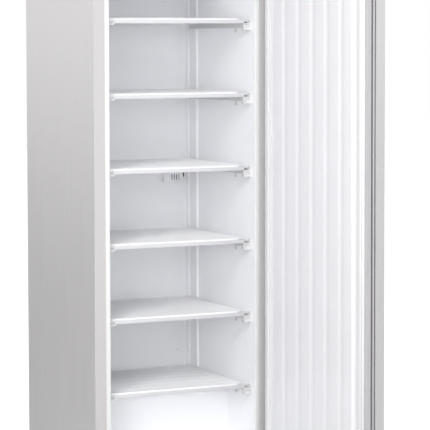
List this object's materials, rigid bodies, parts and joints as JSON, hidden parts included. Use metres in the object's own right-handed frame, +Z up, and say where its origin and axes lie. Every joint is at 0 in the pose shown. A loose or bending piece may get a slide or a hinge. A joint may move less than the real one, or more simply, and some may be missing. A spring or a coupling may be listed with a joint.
{
  "type": "upright freezer",
  "caption": "Tall free-standing cabinet freezer with fixed evaporator shelves, a white moulded liner and a hinged insulated door, shown open.",
  "frame": {"origin": "on the floor under the middle of the bounding box with the door open as pictured", "axes": "+Z up, +X to the right seen from the front, +Y from the door towards the back of the cabinet"},
  "size_m": [0.6542, 1.2018, 1.85],
  "materials": {
    "cabinet_steel": "vertical brushed stainless",
    "door_steel": "vertical brushed stainless",
    "edge_metal": "satin",
    "back_steel": "galvanised",
    "trim_white": "satin",
    "liner_white": "satin",
    "door_liner_white": "satin",
    "foam": "closed cell foam",
    "tube_white": "white coating",
    "wire_white": "white coating",
    "strip_plastic": "satin",
    "clip_plastic": "satin",
    "gasket_rubber": "soft vinyl",
    "cap_plastic": "fine grain",
    "hinge_steel": "zinc plated",
    "bush_plastic": "smooth",
    "bezel_plastic": "fine grain",
    "display_glass": "polished",
    "button_plastic": "smooth",
    "plinth_plastic": "fine grain",
    "compressor_paint": "black enamel",
    "mount_rubber": "matt",
    "copper": "drawn copper",
    "terminal_plastic": "fine grain",
    "condenser_paint": "black enamel",
    "cable_black": "matt",
    "foot_plastic": "fine grain",
    "roller_nylon": "smooth",
    "plated_steel": "zinc plated"
  },
  "bodies": {
    "cabinet": {"left_side_panel": "cabinet_steel", "right_side_panel": "cabinet_steel", "front_lintel": "cabinet_steel", "front_sill": "cabinet_steel", "fascia": "cabinet_steel", "top_panel": "back_steel", "back_panel": "back_steel", "rear_grille": "back_steel", "base_pan": "back_steel", "opening_trim": "trim_white", "inner_liner": "liner_white", "wall_plug": "liner_white", "probe_cover": "liner_white", "foam_insulation": "foam", "evaporator_tube_1": "tube_white", "evaporator_tube_2": "tube_white", "evaporator_tube_3": "tube_white", "evaporator_tube_4": "tube_white", "evaporator_tube_5": "tube_white", "evaporator_tube_6": "tube_white", "deck_wires": "wire_white", "shelf_front_strips": "strip_plastic", "side_rails": "clip_plastic", "left_front_clips": "clip_plastic", "right_front_clips": "clip_plastic", "rear_clips": "clip_plastic", "bottom_hinge_bracket": "hinge_steel", "top_hinge_bracket": "hinge_steel", "hinge_screws": "hinge_steel", "controller_bezel": "bezel_plastic", "display_window": "display_glass", "plinth_grille": "plinth_plastic", "compressor": "compressor_paint", "compressor_mounts": "mount_rubber", "refrigerant_pipes": "copper", "filter_drier": "copper", "terminal_box": "terminal_plastic", "condenser_tube": "condenser_paint", "condenser_wires": "condenser_paint", "condenser_brackets": "condenser_paint", "probe_cable": "cable_black", "roller_brackets": "plated_steel", "roller_axles": "plated_steel", "foot_nuts": "plated_steel"},
    "door": {"door_skin": "door_steel", "door_edge_profile": "edge_metal", "door_liner": "door_liner_white", "door_foam": "foam", "door_bottom_cap": "cap_plastic", "door_top_cap": "cap_plastic", "bottom_hinge_bush": "bush_plastic", "top_hinge_bush": "bush_plastic", "door_gasket": "gasket_rubber"},
    "left_foot": {"left_foot": "foot_plastic"},
    "right_foot": {"right_foot": "foot_plastic"},
    "left_roller": {"left_roller": "roller_nylon"},
    "right_roller": {"right_roller": "roller_nylon"},
    "button_set": {"controller_button_1": "button_plastic"},
    "button_down": {"controller_button_2": "button_plastic"},
    "button_up": {"controller_button_3": "button_plastic"}
  },
  "joints": [
    {"name": "door_hinge", "type": "hinge", "parent": "cabinet", "child": "door", "pos_m": [0.26585, -0.00774, 0.92], "axis": [0, 0, 1], "range_deg": [-91, 34]},
    {"name": "left_foot_level", "type": "slide", "parent": "cabinet", "child": "left_foot", "axis": [0, 0, 1], "range_m": [-0.015, 0]},
    {"name": "right_foot_level", "type": "slide", "parent": "cabinet", "child": "right_foot", "axis": [0, 0, 1], "range_m": [-0.015, 0]},
    {"name": "left_roller_spin", "type": "hinge", "parent": "cabinet", "child": "left_roller", "pos_m": [-0.25715, 0.51826, 0.013], "axis": [1, 0, 0], "continuous": true},
    {"name": "right_roller_spin", "type": "hinge", "parent": "cabinet", "child": "right_roller", "pos_m": [0.20285, 0.51826, 0.013], "axis": [1, 0, 0], "continuous": true},
    {"name": "button_set_press", "type": "slide", "parent": "cabinet", "child": "button_set", "axis": [0, 1, 0], "range_m": [0, 0.001], "stiffness_N_per_m": 400},
    {"name": "button_down_press", "type": "slide", "parent": "cabinet", "child": "button_down", "axis": [0, 1, 0], "range_m": [0, 0.001], "stiffness_N_per_m": 400},
    {"name": "button_up_press", "type": "slide", "parent": "cabinet", "child": "button_up", "axis": [0, 1, 0], "range_m": [0, 0.001], "stiffness_N_per_m": 400}
  ]
}
